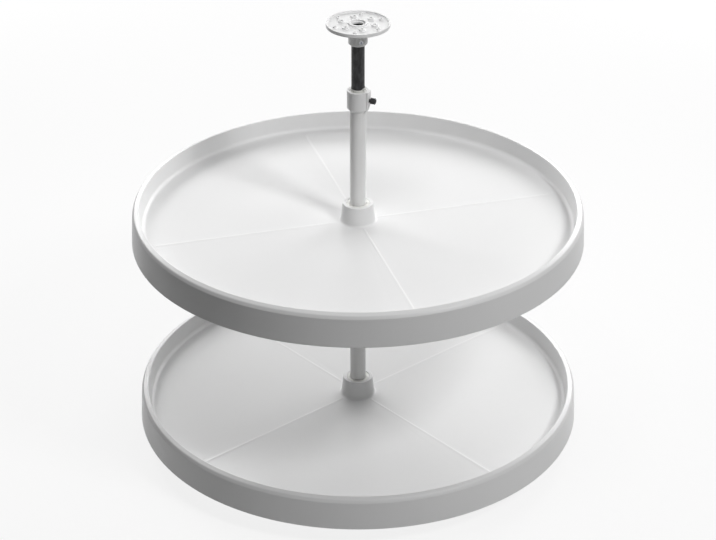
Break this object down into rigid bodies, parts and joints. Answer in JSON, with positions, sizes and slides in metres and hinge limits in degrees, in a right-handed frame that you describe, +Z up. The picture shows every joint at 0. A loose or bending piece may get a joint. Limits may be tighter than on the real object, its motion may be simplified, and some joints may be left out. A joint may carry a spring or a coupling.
{
  "type": "full-round pantry turntable",
  "caption": "Full-round two-shelf pantry turntable: moulded white trays that turn on a telescoping central post with screw-down flanges.",
  "frame": {"origin": "on the post's axis, at the fixing face of the bottom flange", "axes": "+Z up the post, -Y towards the viewer of the picture, +X to the right"},
  "size_m": [0.716, 0.716, 0.711],
  "materials": {
    "shelf_polymer": "moulded white polymer, satin",
    "white_polymer": "moulded white polymer, satin",
    "white_tube": "white powder coat on steel tube",
    "dark_tube": "near-black satin coat on steel tube",
    "nylon": "natural nylon, smooth",
    "zinc_steel": "bright zinc plate"
  },
  "bodies": {
    "post": {"bottom_flange": "white_polymer", "bottom_flange_screw": "zinc_steel", "outer_tube": "white_tube", "tube_end_bushing": "nylon", "clamp_collar": "white_polymer", "clamp_nut": "zinc_steel", "clamp_pad": "nylon", "lower_washer": "nylon"},
    "lower_shelf": {"lower_tray": "shelf_polymer", "lower_top_bushing": "nylon", "lower_bottom_bushing": "nylon"},
    "support": {"support_collar": "zinc_steel", "support_collar_screw": "zinc_steel", "upper_washer": "nylon"},
    "upper_shelf": {"upper_tray": "shelf_polymer", "upper_top_bushing": "nylon", "upper_bottom_bushing": "nylon"},
    "mast": {"inner_tube": "dark_tube", "mast_guide": "nylon", "top_flange": "white_polymer", "top_flange_screw": "zinc_steel"},
    "thumb_screw": {"clamp_screw": "zinc_steel"}
  },
  "joints": [
    {"name": "lower_shelf_turn", "type": "hinge", "parent": "post", "child": "lower_shelf", "pos_m": [0, 0, 0.0345], "axis": [0, 0, 1], "continuous": true},
    {"name": "shelf_height", "type": "slide", "parent": "post", "child": "support", "axis": [0, 0, 1], "range_m": [-0.2, 0.14]},
    {"name": "upper_shelf_turn", "type": "hinge", "parent": "support", "child": "upper_shelf", "pos_m": [0, 0, 0.3555], "axis": [0, 0, 1], "continuous": true},
    {"name": "mast_height", "type": "slide", "parent": "post", "child": "mast", "axis": [0, 0, 1], "range_m": [-0.06, 0.06]},
    {"name": "clamp_screw_turn", "type": "hinge", "parent": "post", "child": "thumb_screw", "pos_m": [0, 0, 0.5845], "axis": [0.9397, -0.342, 0], "range_deg": [0, 720]}
  ]
}
